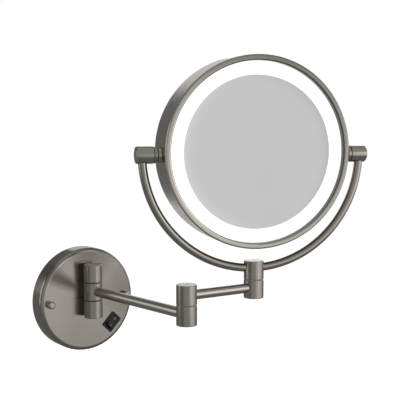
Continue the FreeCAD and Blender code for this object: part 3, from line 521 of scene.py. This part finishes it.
def plate_painted_fans(nodes, position):
    """Fan-shaped painted highlights and painted shade, in the pattern that circular brushing shows: wedges that
    point at the centre.
    """
    flat = nodes.vector("MULTIPLY", position, (1.0, 0.0, 1.0))
    spoke = nodes.vector("NORMALIZE", flat)
    reach = nodes.span(nodes.vector("LENGTH", flat), FAN_START, FAN_FULL)
    tone = PLATE_TONE
    for degrees, half_width, change in PAINTED_PLATE_FANS:
        turn = math.radians(degrees)
        toward = nodes.dot(spoke, (math.cos(turn), 0.0, math.sin(turn)))
        wedge = nodes.span(toward, math.cos(math.radians(half_width)), 1.0)
        tone = nodes.math("ADD", tone, nodes.product(nodes.product(wedge, reach), change))
    return tone, 1.0


def paint_plate():
    finish = {"line_depth": 0.3, "anisotropy": 0.6, "shading": plate_painted_fans}
    paint("wall_plate_cover", turned_nickel("plate_nickel", PLATE_CENTRE, WALL_NORMAL, **finish))
    for side in ("left", "right"):
        nut = side + "_cap_nut"
        paint(nut, turned_nickel(nut + "_nickel", box_middle(nut), WALL_NORMAL))


HOOP_RADIUS = 0.1216


def paint_yoke():
    """The hoop is brushed round its tube, and the pivots round the tilt axis."""
    hoop = brushed_nickel(
        "hoop_nickel",
        lambda nodes, position: hoop_lines(nodes, position, PIVOT, YOKE_FRONT, HOOP_RADIUS),
        line_depth=0.02,
    )
    # A tone of 1.1 is painted light: a lighter copy of the nickel that brightens the pivots.
    pivots = turned_nickel("pivot_nickel", PIVOT, TILT_AXIS, tone=1.1)
    for side in ("left", "right"):
        paint(side + "_yoke_arm", hoop)
        for part in ("_pivot_boss", "_friction_ring", "_head_collar"):
            paint(side + part, pivots)


# The bezel's inner wall ends between these two radii, and its front face starts between these
# two distances in front of the head's centre. The face's painted light and shade go from the first of
# its two tones at the upper right to the second at the lower left; the inner wall takes the painted shade tone.
BEZEL_BORE = (0.0954, 0.0962)
BEZEL_FACE = (0.0150, 0.0172)
BEZEL_FACE_PAINTED_LIGHT = (0.76, 1.64)
BORE_PAINTED_SHADE_TONE = 0.12

RING_BRIGHTNESS = 0.9


def bezel_painted_light_and_shade(nodes, position):
    """The bezel's front has painted light, lighter to the lower left and darker to the upper right, and its inner
    wall is matt and painted dark, as painted shade in the recess.
    """
    along, outward = from_axis(nodes, position, HEAD_CENTRE, tuple(HEAD_FRONT))
    metallic = nodes.span(nodes.vector("LENGTH", outward), *BEZEL_BORE)
    lower_left = tuple((-TILT_AXIS - UP).normalized())
    toward = nodes.dot(nodes.vector("NORMALIZE", outward), lower_left)
    painted_face_light = nodes.span(toward, -1.0, 1.0, *BEZEL_FACE_PAINTED_LIGHT)
    at_front = nodes.span(along, *BEZEL_FACE)
    front = nodes.math("ADD", 1.0, nodes.product(at_front, nodes.math("SUBTRACT", painted_face_light, 1.0)))
    bore_painted_shade = nodes.span(metallic, 0.0, 1.0, BORE_PAINTED_SHADE_TONE, 1.0)
    return nodes.product(front, bore_painted_shade), metallic


def paint_head():
    drum = turned_nickel("drum_nickel", HEAD_CENTRE, HEAD_FRONT, line_depth=0.03, shading=bezel_painted_light_and_shade)
    paint("head_drum", drum)
    paint("back_ring", drum)
    paint("front_mirror", mirror_glass("silvered_glass", with_painted_ring_light=True))
    paint("back_mirror", mirror_glass("back_silvered_glass", with_painted_ring_light=False))
    paint("light_diffuser", lit_diffuser("frosted_light", RING_BRIGHTNESS))
    paint("led_board", plastic("solder_mask", colour(0.82, 0.82, 0.79), 0.45))
    paint("led_chips", plastic("phosphor", colour(0.9, 0.75, 0.3), 0.3))


def paint_switch():
    paint("switch_housing", plastic("switch_black", colour(0.010, 0.010, 0.011), 0.16, 2200.0, 0.08))
    paint("switch_rocker", plastic("rocker_black", colour(0.012, 0.012, 0.013), 0.14, 2200.0, 0.06))


# ------------------------------------------------------------------------- rocker's marks

# The rocker's own shape, from its axle: half its length, and how far its two ends and its
# middle stand out of the plate.
ROCKER_REACH = 0.0083
ROCKER_CREST = 0.0046
ROCKER_DIP = 0.0030
ROCKER_REST_TILT = math.radians(9.0)

# The marks stand out of the rocker's face by their height, and go into it by their sink. Each
# has its place along the rocker from the axle.
MARK_HEIGHT = 0.00012
MARK_SINK = 0.00005
MARK_BEVEL = 0.00006
BAR_HALF_LENGTH = 0.0015
BAR_HALF_WIDTH = 0.00042
BAR_PLACE = -0.0047
RING_OUTER = 0.0015
RING_INNER = 0.00085
RING_PLACE = 0.0045


def ridge(name, rings):
    """A low raised shape on its own XY plane, through rings that all have as many points.

    Its two ends are closed, unless the last ring is the first again."""
    mesh = bmesh.new()
    loops = [[mesh.verts.new(point) for point in ring] for ring in rings]
    count = len(loops[0])
    for lower, upper in zip(loops, loops[1:]):
        for index in range(count):
            after = (index + 1) % count
            mesh.faces.new((lower[index], lower[after], upper[after], upper[index]))
    if rings[-1] != rings[0]:
        mesh.faces.new(loops[-1])
        mesh.faces.new(list(reversed(loops[0])))
    bmesh.ops.remove_doubles(mesh, verts=mesh.verts, dist=1e-7)
    bmesh.ops.recalc_face_normals(mesh, faces=mesh.faces)
    data = bpy.data.meshes.new(name)
    mesh.to_mesh(data)
    mesh.free()
    mark = bpy.data.objects.new(name, data)
    bpy.context.scene.collection.objects.link(mark)
    return mark


def bar_outline(inset, height, steps=8):
    """A straight bar with round ends, seen from above."""
    radius = BAR_HALF_WIDTH - inset
    end_centre = BAR_HALF_LENGTH - BAR_HALF_WIDTH
    points = []
    for end in (1, -1):
        for step in range(steps + 1):
            turn = math.pi * (step / steps - end / 2)
            points.append((end * end_centre + radius * math.cos(turn), radius * math.sin(turn), height))
    return points


def circle_outline(radius, height, steps=32):
    turns = [math.tau * step / steps for step in range(steps)]
    return [(radius * math.cos(turn), radius * math.sin(turn), height) for turn in turns]


def bar_mark():
    rings = [
        bar_outline(0.0, -MARK_SINK),
        bar_outline(0.0, MARK_HEIGHT - MARK_BEVEL),
        bar_outline(MARK_BEVEL, MARK_HEIGHT),
    ]
    return ridge("rocker_on_mark", rings)


def ring_mark():
    rings = [
        circle_outline(RING_OUTER, -MARK_SINK),
        circle_outline(RING_OUTER, MARK_HEIGHT - MARK_BEVEL),
        circle_outline(RING_OUTER - MARK_BEVEL, MARK_HEIGHT),
        circle_outline(RING_INNER + MARK_BEVEL, MARK_HEIGHT),
        circle_outline(RING_INNER, MARK_HEIGHT - MARK_BEVEL),
        circle_outline(RING_INNER, -MARK_SINK),
        circle_outline(RING_OUTER, -MARK_SINK),
    ]
    return ridge("rocker_off_mark", rings)


def on_rocker_face(place):
    """Where a mark at this place along the rocker lies: flat on the half that it is on."""
    pivot = Vector(JOINTS["rocker_press"]["pos_m"])
    axle = Vector(JOINTS["rocker_press"]["axis"]).normalized()
    along = WALL_NORMAL.cross(axle).normalized()
    slope = (ROCKER_CREST - ROCKER_DIP) / ROCKER_REACH
    face_x = (along + WALL_NORMAL * math.copysign(slope, place)).normalized()
    face_z = axle.cross(face_x).normalized()
    face_y = face_z.cross(face_x)
    level = ROCKER_DIP + abs(place) * slope
    rest = Matrix.Rotation(-ROCKER_REST_TILT, 3, axle)
    spot = pivot + rest @ (along * place + WALL_NORMAL * level)
    turn = rest @ Matrix((face_x, face_y, face_z)).transposed()
    return Matrix.Translation(spot) @ turn.to_4x4()


def rocker_marks():
    """A raised bar and a raised ring on the rocker's two halves, as pad printing leaves them."""
    print_white = white_print("white_print")
    for mark, place in ((bar_mark(), BAR_PLACE), (ring_mark(), RING_PLACE)):
        mark.matrix_world = on_rocker_face(place)
        mark.data.materials.append(print_white)
        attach(mark, "rocker")


# --------------------------------------------------------------------------------- studio

FLOOR_LEVEL = -0.75
FLOOR_RADIUS = 6.0
ROOM_DARK = 0.165
ROOM_LIFT = 0.195

# Each soft light: its azimuth and elevation, half the width and half the height of what it
# fills, all in degrees, and its radiance. Azimuth 0 is straight in front of the wall, and grows
# to the viewer's right.
LIGHTS = (
    ("key", 24, 6, 14, 15, 0.55),
    ("key_edge", 28, 1, 20, 25, 0.35),
    ("side", 58, 4, 14, 20, 0.22),
    ("left_strip", -119, 5, 12, 17, 0.75),
    ("left_back", -138, 11, 9, 11, 0.55),
    ("back", 117, 14, 24, 22, 1.05),
    ("far_back", 152, 6, 11, 24, 0.6),
)
MIRROR_LIGHT = ("mirror_fill", -2, -8.5, 15, 19, 0.27)
LIGHT_DISTANCE = 2.5
MIRROR_LIGHT_DISTANCE = 0.6


def softbox(name, azimuth, elevation, half_width, half_height, radiance, target, distance):
    """A rectangular soft light that looks at a target, sized by the angles it fills."""
    around = math.radians(azimuth)
    above = math.radians(elevation)
    direction = Vector(
        (
            math.sin(around) * math.cos(above),
            -math.cos(around) * math.cos(above),
            math.sin(above),
        )
    )
    data = bpy.data.lights.new(name, "AREA")
    data.shape = "RECTANGLE"
    data.size = 2 * distance * math.tan(math.radians(half_width))
    data.size_y = 2 * distance * math.tan(math.radians(half_height))
    data.energy = radiance * math.pi * data.size * data.size_y
    light = bpy.data.objects.new(name, data)
    light.location = target + direction * distance
    light.rotation_euler = direction.to_track_quat("Z", "Y").to_euler()
    light.visible_camera = False
    bpy.context.scene.collection.objects.link(light)


def make_room():
    """A white background behind a grey room, lighter in front of the wall and overhead."""
    world = bpy.data.worlds.new("studio")
    bpy.context.scene.world = world
    nodes = Nodes(world)
    direction = nodes.add("ShaderNodeTexCoord").outputs["Generated"]
    x, y, z = nodes.add("ShaderNodeSeparateXYZ", {0: direction}).outputs
    azimuth = nodes.math("ARCTAN2", x, nodes.product(y, -1.0))
    from_left = nodes.span(azimuth, math.radians(-80), math.radians(-52))
    to_right = nodes.span(azimuth, math.radians(50), math.radians(105), 1.0, 0.0)
    above_floor = nodes.span(z, -0.50, -0.20)
    overhead = nodes.span(z, 0.75, 0.95)
    in_front = nodes.math("MAXIMUM", nodes.product(from_left, to_right), overhead)
    lift = nodes.product(above_floor, in_front)
    level = nodes.math("ADD", ROOM_DARK, nodes.product(lift, ROOM_LIFT))
    seen_straight = nodes.add("ShaderNodeLightPath").outputs["Is Camera Ray"]
    room = nodes.add("ShaderNodeBackground", {"Color": WHITE, "Strength": level}).outputs[0]
    backdrop = nodes.add("ShaderNodeBackground", {"Color": WHITE, "Strength": 1.0}).outputs[0]
    mixed = nodes.add("ShaderNodeMixShader", {0: seen_straight, 1: room, 2: backdrop})
    nodes.add("ShaderNodeOutputWorld", {"Surface": mixed.outputs[0]})


def make_floor():
    """A plain white floor, which stays out of the object's reflections and shading."""
    bpy.ops.mesh.primitive_circle_add(
        vertices=96, radius=FLOOR_RADIUS, fill_type="NGON", location=(0, 0, FLOOR_LEVEL)
    )
    floor = bpy.context.object
    floor.name = "floor"
    material, nodes, _ = new_material("floor_white")
    inputs = {
        "Base Color": colour(0.9, 0.9, 0.9),
        "Roughness": 0.8,
        "Emission Color": WHITE,
        "Emission Strength": 0.85,
    }
    surface(nodes, inputs)
    floor.data.materials.append(material)
    floor.visible_glossy = False
    floor.visible_diffuse = False


def make_lights():
    object_middle = (cad_box[0] + cad_box[1]) / 2
    for light in LIGHTS:
        softbox(*light, target=object_middle, distance=LIGHT_DISTANCE)
    softbox(*MIRROR_LIGHT, target=box_middle("front_mirror"), distance=MIRROR_LIGHT_DISTANCE)


make_camera()
paint_hidden_parts()
paint_hinges()
paint_arms()
paint_plate()
paint_yoke()
paint_head()
paint_switch()
rocker_marks()
make_room()
make_floor()
make_lights()
bpy.context.scene.view_settings.view_transform = "Standard"
